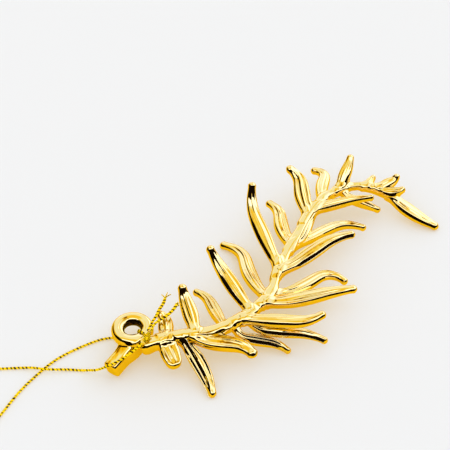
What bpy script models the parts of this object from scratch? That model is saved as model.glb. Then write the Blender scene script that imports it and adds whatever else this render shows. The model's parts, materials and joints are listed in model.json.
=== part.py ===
"""Leaf ornament: a plated, leafy branch with a hanging eyelet at its foot, lying on a table with its cord.

Metres, +Z up, +X along the table from the eyelet to the far leaf, +Y away from the viewer. The origin is on
the table, under the middle of the branch. Route and leaf values are in millimetres from the eyelet's centre.
"""

import math
from collections import namedtuple

import bmesh
import bpy
import numpy as np
from mathutils import Vector

MM = 0.001

# Eyelet: a fat ring lying flat, whose hole takes the cord
EYELET_CENTRE = (-58.8, -33.4, 9.5)
EYELET_HOLE_RADIUS = 3.4
EYELET_TUBE_RADIUS = 2.45
EYELET_STEPS = 30
EYELET_TUBE_STEPS = 12

# Stub: the short rounded bar under the eyelet, cut off square. It is wider where it leaves the ring
STUB_ROOT = (-0.5, -6.2, -3.3)
STUB_HEADING = 233.0
STUB_SLOPE = -9.0
STUB_ROLL = -22.0
STUB_LENGTH = 12.3
STUB_WIDTH = 6.4
STUB_ROOT_SHARE = 1.25
STUB_FLARE_LENGTH = 6.5
STUB_END_ROUNDING = 0.9
STUB_SQUARENESS = 0.62
STUB_STATIONS = 5
STUB_SIDES = 16

# Stem: a round bar along a double curve. The route's points are in hundredths of the stem's length
STEM_LENGTH = 152.0
STEM_ROUTE = [
    (2.0, -5.4, -0.8),
    (8.6, -3.9, 0.7),
    (16.1, -2.6, 1.3),
    (23.7, -0.4, 1.6),
    (30.3, 4.3, 1.6),
    (35.5, 10.9, 1.6),
    (37.9, 19.4, 1.6),
    (41.4, 27.8, 1.6),
    (45.9, 38.4, 1.6),
    (50.6, 46.1, 1.6),
    (56.9, 51.5, 1.0),
    (64.1, 53.3, 0.3),
    (70.1, 51.2, -0.8),
]
STEM_RADII = [(0.0, 2.5), (3.0, 3.1), (7.0, 2.6), (12.0, 2.0), (165.0, 1.5)]
STEM_SPACING = 4.2
STEM_BEVEL_STEPS = 3

# Leaves: thick, with a midrib between two channels and raised rims
LEAF_WIDTH = 5.3
LEAF_THICKNESS = 3.9
LEAF_ROOT_SHARE = 0.62
LEAF_END_THINNING = 0.55
LEAF_SQUARENESS = 0.5
LEAF_RIM_AT = 0.8
LEAF_WIDEST_AT = 0.42
LEAF_TAPER_POWER = 1.8
LEAF_HOOK_FROM = 0.55
LEAF_SPRING_TO = 0.35
LEAF_FLUTE = 0.22
LEAF_LEAST_STATIONS = 6
LEAF_STATION_SPACING = 12.0
LEAF_SECTION_ANGLES = [0, 33, 52, 80, 90, 100, 128, 147, 180, 225, 270, 315]
LEAF_PATH_STEPS = 60

# One row a leaf. Station is the place along the stem, and both it and length are in hundredths of the stem's
# length. Width is a share of LEAF_WIDTH. Heading is the plan angle from +X at the root, after the first bend
# (spring). Turn acts along the whole leaf and hook near the tip, seen from above. Rise, arch and curl are the
# same three in height. Drop lowers the root on the stem, in millimetres. Blunt is the tip's share of width.
Leaf = namedtuple(
    "Leaf",
    "name station heading length width spring turn hook rise arch curl drop roll blunt",
    defaults=(0.0, 0.0, 0.0, 0.0, 0.0, 0.0, 0.0, 0.0, 0.5),
)
LEAVES = [
    Leaf("far_1", 7.0, 86, 9.3, 1.15, turn=22, hook=48, rise=6),
    Leaf("far_2", 14.7, 101, 14.5, 1.18, turn=14, hook=-4, rise=14, curl=40),
    Leaf("far_3", 22.8, 115, 16.8, 0.95, turn=-6, hook=45, rise=-4, drop=1.0),
    Leaf("far_4", 30.9, 121, 22.1, 1.16, turn=1, hook=10, rise=12, curl=38),
    Leaf("far_5", 38.0, 121, 30.7, 1.17, turn=-42, hook=71, rise=-12.2, drop=1.0),
    Leaf("far_6", 48.6, 111, 27.5, 1.13, hook=-27, rise=12, curl=35),
    Leaf("far_7", 58.3, 115, 21.2, 1.17, turn=-41, hook=60, rise=-6, drop=1.0),
    Leaf("far_8", 70.5, 105, 18.0, 1.13, turn=-21, hook=78, rise=9, curl=25),
    Leaf("far_9", 78.2, 94, 16.8, 0.98, turn=-36, hook=115, rise=-5, drop=1.0),
    Leaf("far_10", 84.8, 65, 11.3, 1.00, hook=12, rise=28),
    Leaf("far_11", 93.4, 60, 5.1, 0.66, hook=-20, rise=5, drop=0.8),
    Leaf("far_12", 96.4, 20, 7.8, 0.74, hook=38, rise=17, curl=30),
    Leaf("end_small", 97.4, -35, 7.6, 0.66, turn=70, rise=6),
    Leaf("end_long", 100.0, -42, 17.1, 0.97, turn=20, rise=-16.3),
    Leaf("near_1", 6.8, -68, 7.5, 1.42, rise=-25, blunt=0.85),
    Leaf("near_2", 10.8, -45, 17.9, 1.15, turn=-26, hook=-6, rise=-22.6),
    Leaf("near_3", 13.4, -4, 18.2, 1.30, spring=-25, hook=-49, rise=-5, blunt=0.6),
    Leaf("near_4", 25.3, 5, 17.2, 0.83, spring=-75, turn=-1, hook=-38, rise=-19, drop=1.5),
    Leaf("near_5", 27.0, -1, 22.7, 1.03, turn=-11, hook=46, rise=3),
    Leaf("near_6", 29.3, 2, 22.7, 0.91, spring=-54, turn=4, hook=-31, rise=-11, drop=1.0),
    Leaf("near_7", 35.5, 13, 25.3, 1.06, spring=-14, turn=7, hook=-20, curl=10),
    Leaf("near_8", 39.7, 23, 23.8, 0.91, spring=-17, turn=35, hook=-106, rise=-4, drop=1.0),
    Leaf("near_9", 47.0, 39, 25.7, 1.08, spring=-7, turn=2, hook=-32, rise=3),
    Leaf("near_10", 57.8, 49, 25.1, 0.91, spring=-10, turn=-25, hook=-46, rise=-6, drop=1.0),
    Leaf("near_11", 68.8, 23, 22.4, 0.86, spring=42, turn=-7, hook=-11),
    Leaf("near_11_heel", 58.6, 70, 14.1, 0.69, spring=-50, drop=0.8),
    Leaf("near_12", 86.2, -14, 12.7, 0.77, spring=-57, hook=-8, rise=-16, drop=0.6),
]

# Cord: a thin twisted cord through the eyelet and back, tied in a knot at the eyelet's outer rim
CORD_DIAMETER = 0.85
CORD_BEVEL_STEPS = 2
CORD_STEPS = 78
CORD_TURN_WEIGHT = 4.0
CORD_ROUTE = [
    (4.9, -4.6, 3.4),
    (4.25, -4.0, 3.35),
    (3.6, -3.1, 3.05),
    (2.9, -2.05, 2.35),
    (2.45, -1.4, 1.15),
    (2.37, -1.05, -0.1),
    (2.4, -0.8, -1.6),
    (2.3, -0.4, -3.0),
    (1.6, 0.3, -4.7),
    (0.1, 1.2, -6.5),
    (-1.9, 2.3, -7.9),
    (-4.7, 3.3, -8.8),
    (-8.4, 3.7, -9.0),
    (-19.2, -0.2, -9.0),
    (-31.4, -8.9, -9.0),
    (-36.3, -14.6, -9.0),
    (-42.0, -22.4, -9.0),
    (-51.0, -38.5, -9.0),
    (-57.0, -45.5, -9.0),
    (-64.5, -49.3, -9.0),
    (-79.8, -44.2, -9.0),
    (-83.4, -36.5, -9.0),
    (-78.0, -20.5, -9.0),
    (-61.0, -12.6, -9.0),
    (-51.3, -12.0, -9.0),
    (-43.6, -11.6, -8.9),
    (-38.2, -12.0, -8.4),
    (-33.4, -13.2, -7.7),
    (-28.6, -12.8, -8.4),
    (-23.7, -12.5, -8.9),
    (-19.3, -12.9, -8.8),
    (-16.4, -13.9, -7.5),
    (-13.6, -15.6, -5.3),
    (-10.4, -17.0, -2.2),
    (-7.8, -17.4, -0.1),
    (-4.8, -16.1, 0.6),
    (-1.6, -13.5, 0.7),
    (1.3, -11.1, 1.2),
    (3.2, -9.9, 2.2),
    (4.4, -9.4, 3.0),
]
KNOT_CENTRE = (5.9, -6.7, 3.9)
KNOT_HALF_SIZES = (1.45, 2.4, 1.15)
KNOT_HEADING = -12.0
KNOT_STEPS = 12
TAIL_LONG_ROUTE = [
    (6.3, -3.6, 3.9),
    (7.2, -1.4, 4.2),
    (8.2, 1.1, 4.4),
    (9.2, 3.1, 4.6),
    (10.5, 6.5, 5.0),
    (11.7, 9.0, 5.0),
    (12.4, 11.8, 5.0),
]
TAIL_SHORT_ROUTE = [
    (7.5, -4.0, 4.0),
    (9.2, -0.4, 4.7),
    (12.7, 2.1, 5.4),
    (14.6, 3.8, 5.7),
    (16.4, 6.0, 6.2),
    (17.3, 7.9, 6.5),
]
TAIL_SPACING = 2.0


def eased(x):
    """0 below 0, 1 above 1, and a smooth step between."""
    x = np.clip(x, 0.0, 1.0)
    return x * x * (3.0 - 2.0 * x)


def bent(x, squareness):
    """An oval's sine or cosine, bent so that the oval nears a rounded box as squareness falls from 1."""
    return np.sign(x) * np.abs(x) ** squareness


def spline(points):
    """Close points on the natural cubic spline through the given points, by chord length."""
    points = np.array(points, float)
    count = len(points)
    gaps = np.linalg.norm(np.diff(points, axis=0), axis=1)
    knots = np.append(0.0, np.cumsum(gaps))
    matrix = np.eye(count)
    right = np.zeros_like(points)
    for i in range(1, count - 1):
        matrix[i, i - 1 : i + 2] = gaps[i - 1], 2 * (gaps[i - 1] + gaps[i]), gaps[i]
        slopes = np.diff(points[i - 1 : i + 2], axis=0) / gaps[i - 1 : i + 1, None]
        right[i] = 6 * (slopes[1] - slopes[0])
    bends = np.linalg.solve(matrix, right)
    along = np.linspace(0.0, knots[-1], 40 * count)
    i = np.clip(np.searchsorted(knots, along, side="right") - 1, 0, count - 2)
    gap = gaps[i, None]
    after = (along - knots[i])[:, None] / gap
    before = 1.0 - after
    return (
        before * points[i]
        + after * points[i + 1]
        + ((before**3 - before) * bends[i] + (after**3 - after) * bends[i + 1]) * gap**2 / 6
    )


def lengths_along(points):
    return np.append(0.0, np.cumsum(np.linalg.norm(np.diff(points, axis=0), axis=1)))


def read_at(where, measure, points):
    return np.column_stack([np.interp(where, measure, points[:, axis]) for axis in range(3)])


def smooth_route(points, spacing):
    """The smooth curve through the points, read at even steps of about the spacing."""
    fine = spline(points)
    along = lengths_along(fine)
    steps = max(2, round(along[-1] / spacing))
    return read_at(np.linspace(0.0, along[-1], steps + 1), along, fine)


def bent_route(points, count, turn_weight):
    """The smooth curve through the points, read at steps that shorten where it bends.

    A turn of one radian counts as much as turn_weight millimetres of length.
    """
    fine = spline(points)
    steps = np.diff(fine, axis=0)
    ahead = steps / np.linalg.norm(steps, axis=1)[:, None]
    turns = np.arccos(np.clip(np.sum(ahead[1:] * ahead[:-1], axis=1), -1.0, 1.0))
    measure = lengths_along(fine) + turn_weight * np.concatenate([[0.0, 0.0], np.cumsum(turns)])
    return read_at(np.linspace(0.0, measure[-1], count), measure, fine)


def place(points):
    """Millimetres from the eyelet's centre, made metres from the origin."""
    return (np.asarray(points, float) + np.array(EYELET_CENTRE)) * MM


def collection(name):
    made = bpy.data.collections.new(name)
    bpy.context.scene.collection.children.link(made)
    return made


def material(name, colour, roughness, metallic):
    made = bpy.data.materials.new(name)
    made.use_nodes = True
    shader = made.node_tree.nodes["Principled BSDF"]
    shader.inputs["Base Color"].default_value = (*colour, 1.0)
    shader.inputs["Roughness"].default_value = roughness
    shader.inputs["Metallic"].default_value = metallic
    return made


def mesh_object(name, mesh, where):
    made = bpy.data.objects.new(name, mesh)
    where.objects.link(made)
    return made


def as_joiner(obj):
    """A shape that a Boolean joins to the stem: it stays out of the render."""
    obj.hide_render = True
    obj.display_type = "WIRE"
    return obj


def loft(name, rings, where):
    """A closed skin over rings of points, with a flat face over each end ring."""
    count, around = rings.shape[:2]
    mesh = bmesh.new()
    rows = [[mesh.verts.new(point) for point in ring] for ring in rings]
    for row, following in zip(rows[:-1], rows[1:]):
        for i in range(around):
            j = (i + 1) % around
            mesh.faces.new((row[i], row[j], following[j], following[i]))
    mesh.faces.new(rows[0][::-1])
    mesh.faces.new(rows[-1])
    bmesh.ops.recalc_face_normals(mesh, faces=mesh.faces)
    data = bpy.data.meshes.new(name)
    mesh.to_mesh(data)
    mesh.free()
    return mesh_object(name, data, where)


def tube_curve(name, route, radii, bevel_steps, where):
    """A round tube with filled caps along a route of straight steps."""
    curve = bpy.data.curves.new(name, "CURVE")
    curve.dimensions = "3D"
    curve.bevel_depth = 1.0
    curve.bevel_resolution = bevel_steps
    curve.use_fill_caps = True
    line = curve.splines.new("POLY")
    line.points.add(len(route) - 1)
    line.points.foreach_set("co", np.column_stack([route, np.ones(len(route))]).ravel())
    line.points.foreach_set("radius", radii)
    made = bpy.data.objects.new(name, curve)
    where.objects.link(made)
    return made


def as_mesh(obj, where):
    """The curve's evaluated mesh with its caps joined, as an object in the curve's place."""
    bpy.context.view_layer.update()
    graph = bpy.context.evaluated_depsgraph_get()
    data = bpy.data.meshes.new_from_object(obj.evaluated_get(graph))
    skin = bmesh.new()
    skin.from_mesh(data)
    bmesh.ops.remove_doubles(skin, verts=skin.verts, dist=1e-6)
    bmesh.ops.recalc_face_normals(skin, faces=skin.faces)
    skin.to_mesh(data)
    skin.free()
    name = obj.name
    made = bpy.data.objects.new(name, data)
    made.matrix_world = obj.matrix_world.copy()
    bpy.data.objects.remove(obj)
    made.name = name
    where.objects.link(made)
    return made


def stem_route():
    return np.array(STEM_ROUTE) * STEM_LENGTH / 100.0


def make_stem(where):
    route = smooth_route(stem_route(), STEM_SPACING)
    distance, radius = np.array(STEM_RADII).T
    radii = np.interp(lengths_along(route), distance, radius) * MM
    curve = tube_curve("leaf_branch", place(route), radii, STEM_BEVEL_STEPS, where)
    return as_mesh(curve, where)


def make_eyelet(where):
    """A torus about the hole's upright axis."""
    ring_radius = EYELET_HOLE_RADIUS + EYELET_TUBE_RADIUS
    bpy.ops.mesh.primitive_torus_add(
        major_segments=EYELET_STEPS,
        minor_segments=EYELET_TUBE_STEPS,
        major_radius=ring_radius * MM,
        minor_radius=EYELET_TUBE_RADIUS * MM,
        location=place((0.0, 0.0, 0.0)),
    )
    ring = bpy.context.object
    ring.name = "eyelet"
    for holder in ring.users_collection:
        holder.objects.unlink(ring)
    where.objects.link(ring)
    return as_joiner(ring)


def make_stub(where):
    """A bar of rounded square section from inside the ring's front to its flat cut end."""
    heading, slope, roll = (math.radians(angle) for angle in (STUB_HEADING, STUB_SLOPE, STUB_ROLL))
    ahead = np.array(
        [math.cos(slope) * math.cos(heading), math.cos(slope) * math.sin(heading), math.sin(slope)]
    )
    level = np.array([math.sin(heading), -math.cos(heading), 0.0])
    upward = np.cross(level, ahead)
    sideways = level * math.cos(roll) + upward * math.sin(roll)
    upward = upward * math.cos(roll) - level * math.sin(roll)
    body = np.linspace(0.0, STUB_LENGTH - STUB_END_ROUNDING, STUB_STATIONS)
    past = np.array([0.6, 1.0])
    along = np.append(body, STUB_LENGTH - STUB_END_ROUNDING * (1.0 - past))
    flare = 1.0 + (STUB_ROOT_SHARE - 1.0) * (1.0 - eased(along / STUB_FLARE_LENGTH))
    inset = np.append(np.zeros(STUB_STATIONS), STUB_END_ROUNDING * (1.0 - np.sqrt(1.0 - past**2)))
    half = (STUB_WIDTH / 2 * flare - inset)[:, None, None]
    angle = np.arange(STUB_SIDES) * 2 * math.pi / STUB_SIDES
    across = bent(np.cos(angle), STUB_SQUARENESS)[None, :, None] * sideways
    above = bent(np.sin(angle), STUB_SQUARENESS)[None, :, None] * upward
    rings = np.array(STUB_ROOT) + along[:, None, None] * ahead + half * (across + above)
    return as_joiner(loft("stub", place(rings), where))


def leaf_length(leaf):
    return leaf.length * STEM_LENGTH / 100.0


def leaf_path(leaf):
    """Points from the stem's axis to the tip, with the heading and pitch at each."""
    stem = spline(stem_route())
    root = read_at([leaf.station * STEM_LENGTH / 100.0], lengths_along(stem), stem)[0]
    root[2] -= leaf.drop
    t = np.linspace(0.0, 1.0, LEAF_PATH_STEPS)
    near_tip = eased((t - LEAF_HOOK_FROM) / (1.0 - LEAF_HOOK_FROM))
    near_root = 1.0 - eased(t / LEAF_SPRING_TO)
    heading = np.radians(leaf.heading + leaf.spring * near_root + leaf.turn * t + leaf.hook * near_tip)
    pitch = np.radians(leaf.rise + leaf.arch * t + leaf.curl * near_tip)
    ahead = np.column_stack(
        [np.cos(pitch) * np.cos(heading), np.cos(pitch) * np.sin(heading), np.sin(pitch)]
    )
    middle = (ahead[1:] + ahead[:-1]) / 2
    steps = np.vstack([np.zeros(3), middle * leaf_length(leaf) / (LEAF_PATH_STEPS - 1)])
    return t, root + np.cumsum(steps, axis=0), heading, pitch


def leaf_section(angle):
    """A leaf's section in shares of its half sizes: a rounded box with two channels beside its midrib."""
    width = bent(np.cos(angle), LEAF_SQUARENESS)
    height = bent(np.sin(angle), LEAF_SQUARENESS)
    channel = np.sin(math.pi * np.clip(width / LEAF_RIM_AT, -1.0, 1.0)) ** 2
    return width, height - np.where(height > 0.0, LEAF_FLUTE * channel, 0.0)


def leaf_rings(leaf, stations, angle):
    """Rings of points across the leaf, in millimetres, each point at one of the section's angles.

    The half width grows from the root to its widest place and shrinks to the tip, which ends in a quarter
    circle. The thickness follows it by a share.
    """
    path_t, path, heading, pitch = leaf_path(leaf)
    full_width = leaf.width * LEAF_WIDTH
    tip_radius = leaf.blunt * full_width / 2
    end_from = 1.0 - tip_radius / leaf_length(leaf)
    body = np.linspace(0.0, end_from, stations - 2)
    end = 1.0 - (1.0 - end_from) * (1.0 - np.sin(np.radians([50.0, 90.0])))
    t = np.append(body, end)
    swell = LEAF_ROOT_SHARE + (1 - LEAF_ROOT_SHARE) * eased(t / LEAF_WIDEST_AT)
    narrowing = np.clip((t - LEAF_WIDEST_AT) / (end_from - LEAF_WIDEST_AT), 0.0, 1.0)
    share = np.minimum(swell, 1 - (1 - leaf.blunt) * narrowing**LEAF_TAPER_POWER)
    past = np.clip((t - end_from) / (1.0 - end_from), 0.0, 0.985)
    rounding = np.sqrt(1.0 - past**2)
    half_width = full_width / 2 * share * rounding
    half_height = LEAF_THICKNESS / 2 * (1.0 - LEAF_END_THINNING * (1.0 - share)) * rounding
    middle = read_at(t, path_t, path)
    heading = np.interp(t, path_t, heading)
    pitch = np.interp(t, path_t, pitch)
    level = np.column_stack([np.sin(heading), -np.cos(heading), np.zeros(len(t))])
    upward = np.column_stack(
        [-np.sin(pitch) * np.cos(heading), -np.sin(pitch) * np.sin(heading), np.cos(pitch)]
    )
    roll = math.radians(leaf.roll)
    sideways = level * math.cos(roll) + upward * math.sin(roll)
    upward = upward * math.cos(roll) - level * math.sin(roll)
    width, height = leaf_section(angle)
    across = half_width[:, None, None] * width[None, :, None] * sideways[:, None]
    above = half_height[:, None, None] * height[None, :, None] * upward[:, None]
    return middle[:, None] + across + above


def make_leaf(leaf, where):
    stations = LEAF_LEAST_STATIONS + round(leaf_length(leaf) / LEAF_STATION_SPACING)
    rings = leaf_rings(leaf, stations, np.radians(LEAF_SECTION_ANGLES))
    return as_joiner(loft(leaf.name, place(rings), where))


def make_branch(parts, joined, plating):
    """The stem with everything moulded onto it, as one solid."""
    stem = make_stem(parts)
    make_eyelet(joined)
    make_stub(joined)
    for leaf in LEAVES:
        make_leaf(leaf, joined)
    union = stem.modifiers.new("moulded as one", "BOOLEAN")
    union.operation = "UNION"
    union.operand_type = "COLLECTION"
    union.collection = joined
    stem.data.materials.append(plating)
    stem.data.shade_smooth()
    return stem


def make_cord_tube(name, route, where, finish):
    radii = np.full(len(route), CORD_DIAMETER / 2 * MM)
    tube = tube_curve(name, place(route), radii, CORD_BEVEL_STEPS, where)
    tube.data.materials.append(finish)
    return tube


def make_knot(where, finish):
    """The knot's outer shape: a ball drawn out along the two strands that it closes."""
    skin = bmesh.new()
    bmesh.ops.create_uvsphere(skin, u_segments=KNOT_STEPS, v_segments=KNOT_STEPS // 2 + 2, radius=MM)
    bmesh.ops.scale(skin, vec=Vector(KNOT_HALF_SIZES), verts=skin.verts)
    data = bpy.data.meshes.new("cord_knot")
    skin.to_mesh(data)
    skin.free()
    data.shade_smooth()
    knot = mesh_object("cord_knot", data, where)
    knot.location = place(KNOT_CENTRE)
    knot.rotation_euler = (0.0, 0.0, math.radians(KNOT_HEADING))
    knot.data.materials.append(finish)
    return knot


def make_cord(parts, finish):
    """The loop through the eyelet, the knot that closes it and the two loose ends."""
    loop = bent_route(CORD_ROUTE, CORD_STEPS, CORD_TURN_WEIGHT)
    make_cord_tube("hanging_cord", loop, parts, finish)
    make_knot(parts, finish)
    make_cord_tube("cord_tail_long", smooth_route(TAIL_LONG_ROUTE, TAIL_SPACING), parts, finish)
    make_cord_tube("cord_tail_short", smooth_route(TAIL_SHORT_ROUTE, TAIL_SPACING), parts, finish)


def main():
    for obj in list(bpy.data.objects):
        bpy.data.objects.remove(obj)
    parts = collection("leaf_ornament")
    joined = collection("joined_to_the_stem")
    plating = material("gold_plating", (0.95, 0.66, 0.22), 0.14, 1.0)
    thread = material("metallic_thread", (0.9, 0.68, 0.16), 0.35, 1.0)
    make_branch(parts, joined, plating)
    make_cord(parts, thread)


main()
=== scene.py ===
"""Leaf ornament: the plated branch and its metallic cord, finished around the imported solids.

Lengths are in millimetres from the eyelet's centre until place() makes them metres in the frame.
"""

import json
import math
from collections import namedtuple

import bmesh
import bpy
import numpy as np
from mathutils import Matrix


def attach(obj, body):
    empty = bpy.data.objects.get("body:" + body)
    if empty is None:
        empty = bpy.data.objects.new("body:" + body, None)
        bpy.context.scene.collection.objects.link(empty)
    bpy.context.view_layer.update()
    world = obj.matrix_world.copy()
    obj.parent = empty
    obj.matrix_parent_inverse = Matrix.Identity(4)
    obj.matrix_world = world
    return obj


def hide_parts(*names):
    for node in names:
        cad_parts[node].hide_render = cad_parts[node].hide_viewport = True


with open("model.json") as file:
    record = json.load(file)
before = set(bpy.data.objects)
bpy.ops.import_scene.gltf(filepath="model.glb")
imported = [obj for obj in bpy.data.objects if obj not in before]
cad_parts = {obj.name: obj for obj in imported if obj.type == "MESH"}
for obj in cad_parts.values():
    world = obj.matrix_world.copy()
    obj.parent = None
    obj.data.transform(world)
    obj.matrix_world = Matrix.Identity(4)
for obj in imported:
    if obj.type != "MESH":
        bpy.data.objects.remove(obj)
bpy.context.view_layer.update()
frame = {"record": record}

MM = 0.001
SPLINE_STEPS = 40
FIRST_UP = (0.3, 0.2, 1.0)
EYELET_CENTRE = np.array(
    next(mount["pos_m"] for mount in frame["record"]["mounts"] if mount["name"] == "hang_eyelet")
)
TABLE_HEIGHT = -EYELET_CENTRE[2] / MM

# Camera: above and in front of the branch, looking down at 45 degrees
CAMERA_OFFSET = (36.1, -338.7, 396.7)
CAMERA_TILT = 45.0
CAMERA_LENS = 106.67
CAMERA_SENSOR_WIDTH = 36.0
CAMERA_CLIP_START_M = 0.01

# Cord
CORD_DIAMETER = 0.85
CORD_ROUTE = [
    (4.9, -4.6, 3.4),
    (4.25, -4.0, 3.35),
    (3.6, -3.1, 3.05),
    (2.9, -2.05, 2.35),
    (2.45, -1.4, 1.15),
    (2.37, -1.05, -0.1),
    (2.4, -0.8, -1.6),
    (2.3, -0.4, -3.0),
    (1.6, 0.3, -4.7),
    (0.1, 1.2, -6.5),
    (-1.9, 2.3, -7.9),
    (-4.7, 3.3, -8.8),
    (-8.4, 3.7, -9.0),
    (-19.2, -0.2, -9.0),
    (-31.4, -8.9, -9.0),
    (-36.3, -14.6, -9.0),
    (-42.0, -22.4, -9.0),
    (-51.0, -38.5, -9.0),
    (-57.0, -45.5, -9.0),
    (-64.5, -49.3, -9.0),
    (-79.8, -44.2, -9.0),
    (-83.4, -36.5, -9.0),
    (-78.0, -20.5, -9.0),
    (-61.0, -12.6, -9.0),
    (-51.3, -12.0, -9.0),
    (-43.6, -11.6, -8.9),
    (-38.2, -12.0, -8.4),
    (-33.4, -13.2, -7.7),
    (-28.6, -12.8, -8.4),
    (-23.7, -12.5, -8.9),
    (-19.3, -12.9, -8.8),
    (-16.4, -13.9, -7.5),
    (-13.6, -15.6, -5.3),
    (-10.4, -17.0, -2.2),
    (-7.8, -17.4, -0.1),
    (-4.8, -16.1, 0.6),
    (-1.6, -13.5, 0.7),
    (1.3, -11.1, 1.2),
    (3.2, -9.9, 2.2),
    (4.4, -9.4, 3.0),
]
TAIL_LONG_ROUTE = [
    (6.3, -3.6, 3.9),
    (7.2, -1.4, 4.2),
    (8.2, 1.1, 4.4),
    (9.2, 3.1, 4.6),
    (10.5, 6.5, 5.0),
    (11.7, 9.0, 5.0),
    (12.4, 11.8, 5.0),
]
TAIL_SHORT_ROUTE = [
    (7.5, -4.0, 4.0),
    (9.2, -0.4, 4.7),
    (12.7, 2.1, 5.4),
    (14.6, 3.8, 5.7),
    (16.4, 6.0, 6.2),
    (17.3, 7.9, 6.5),
]
# Where each loose strand ends, from the end of its tail
TAIL_LONG_STRANDS = [(-1.4, 1.6, 0.9), (1.1, 2.4, 1.3), (2.5, 1.7, 0.9)]
TAIL_SHORT_STRANDS = [(0.9, 0.4, 0.2), (0.8, -0.9, -0.4), (0.4, 0.8, 0.4)]
STRAND_RADIUS = 0.31
STRAND_THINNING = 0.5
STRAND_BEND_OUT = 0.3
STRAND_BEND_AHEAD = 0.2
STRAND_STEPS_BACK = 4
TAIL_OPENING = 0.35
CORD_STEP = 0.3
CORD_SIDES = 18
CORD_CREST_RADIUS = 0.53
WINDING_PITCH = 1.53
WINDING_GROOVE = 0.2
KNOT_CENTRE = (5.9, -6.7, 3.9)
KNOT_HALF_SIZES = (1.45, 2.4, 1.15)
KNOT_HEADING = -12.0
KNOT_STEPS = 150

# Eyelet and stub
EYELET_HOLE_RADIUS = 3.4
EYELET_TUBE_RADIUS = 2.45
EYELET_SQUARENESS = 0.78
EYELET_BORE_SHARE = 1.13
EYELET_LINE_AT = -0.3
EYELET_LINE_DEPTH = 0.07
EYELET_LINE_WIDTH = 0.09
EYELET_STEPS = 128
EYELET_TUBE_STEPS = 48
STUB_ROOT = (-0.5, -6.2, -3.3)
STUB_HEADING = 233.0
STUB_SLOPE = -9.0
STUB_ROLL = -14.0
STUB_LENGTH = 12.3
STUB_HIDDEN_LENGTH = 2.2
STUB_WIDTH = 6.4
STUB_ROOT_SHARE = 1.25
STUB_FLARE_LENGTH = 6.5
STUB_END_ROUNDING = 0.9
STUB_SQUARENESS = 0.5
STUB_END_ANGLES = np.arange(10.0, 91.0, 10.0)
STUB_STEPS = 40
STUB_SIDES = 52

# Stem, its route in hundredths of its length and its radii at distances along it
STEM_LENGTH = 152.0
STEM_ROUTE = [
    (2.0, -5.4, -0.8),
    (8.6, -3.9, 0.7),
    (16.1, -2.6, 1.3),
    (23.7, -0.4, 1.6),
    (30.3, 4.3, 1.6),
    (35.5, 10.9, 1.6),
    (37.9, 19.4, 1.6),
    (41.4, 27.8, 1.6),
    (45.9, 38.4, 1.6),
    (50.6, 46.1, 1.6),
    (56.9, 51.5, 1.0),
    (64.1, 53.3, 0.3),
    (70.1, 51.2, -0.8),
]
STEM_RADII = [(0.0, 2.5), (3.0, 3.1), (7.0, 2.6), (12.0, 2.0), (165.0, 1.5)]
STEM_SQUARENESS = 0.6
STEM_END_LENGTH = 2.0
STEM_END_ROUNDING = 1.6
STEM_END_STEPS = np.array([0.03, 0.13, 0.3, 0.55, 0.9, 1.4])
STEM_STEPS = 330
STEM_SIDES = 44

# Fillets, and how finely the stem and the leaves are read to measure gaps to them
ROOT_FILLET = 2.6
STUB_FILLET = 1.1
GAP_STEP = 0.5
GAP_LEAF_STEPS = 40
GAP_LEAF_END_ANGLES = np.array([45.0])
WIDEST_BAR = 4.0
LEAST_REACH = 1e-6

# Leaves
LEAF_WIDTH = 5.3
LEAF_THICKNESS = 3.9
LEAF_ROOT_SHARE = 0.62
LEAF_END_THINNING = 0.55
LEAF_TOP_SQUARENESS = 0.74
LEAF_SQUARENESS = 0.5
BOXY_TOPS = {"near_1": 0.4, "near_3": 0.5, "near_7": 0.62}
LEAF_RIM_AT = 0.8
LEAF_WIDEST_AT = 0.42
LEAF_TAPER_POWER = 1.8
LEAF_HOOK_FROM = 0.55
LEAF_SPRING_TO = 0.35
LEAF_LIFT_TO = 0.3
LEAF_ROUND_FROM = 0.55
LEAF_BLUNT_FROM = 0.8
LEAF_END_ANGLES = np.arange(9.0, 90.0, 9.0)
LEAF_PATH_STEPS = 160
LEAF_LEAST_STEPS = 12
LEAF_STEPS_PER_MM = 0.75
LEAF_TOP_SIDES = 40
LEAF_UNDER_SIDES = 16
KNOB_SWELL = 0.16
KNOB_LENGTH = 0.9
KNOB_FROM_TIP = 0.25

# Channels and flow lines: they grow over a share of the leaf's length, and fade from a share on over another
CHANNELS_ALONG = (0.25, 0.72, 0.2)
LEAF_FLUTE = 0.22
LEAF_LINES = 0.15
LINES_WITHOUT_FLUTE = 0.3
# Each wave is (waves in a half width, waves along, turn by station, weight)
FLOW_WAVES = [(1.6, 0.7, 1.0, 0.5), (2.7, -0.5, 2.3, 0.3), (4.1, 0.9, 3.7, 0.2)]
LEAF_FLUTES = {
    "far_2": 0.14,
    "far_6": 0.20,
    "far_8": 0.38,
    "far_9": 0.14,
    "far_10": 0.07,
    "far_12": 0.10,
    "end_small": 0.10,
    "end_long": 0.14,
    "near_1": 0.10,
    "near_2": 0.6,
    "near_3": 0.12,
    "near_5": 0.10,
    "near_7": 0.15,
    "near_8": 0.19,
    "near_9": 0.17,
    "near_10": 0.22,
    "near_11": 0.10,
    "near_11_heel": 0.12,
}

# Slanted flanks, which start at a share of a leaf's half width
RIGHT_FLANK_SLOPE = 1.8
RIGHT_FLANK_GROWTH = 0.3
LEFT_FLANK_SLOPE = 1.45
LEFT_FLANK_ALONG = (0.15, 0.5, 0.35)
NO_FLANK_AT = 1.3
FLANK_EDGE_POWER = 7.0
FLANK_LOWEST = 0.08
FLANK_LEAST_HEIGHT = 1e-3
LEFT_FLANKS = {"far_4": 0.4, "far_6": 0.4, "far_8": 0.6}
RIGHT_FLANKS = {
    "end_long": 0.55,
    "near_2": 0.35,
    "near_4": 0.45,
    "near_5": 0.66,
    "near_6": 0.45,
    "near_7": 0.76,
    "near_8": 0.58,
    "near_9": 0.42,
    "near_10": 0.70,
    "near_11": 0.68,
}

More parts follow.
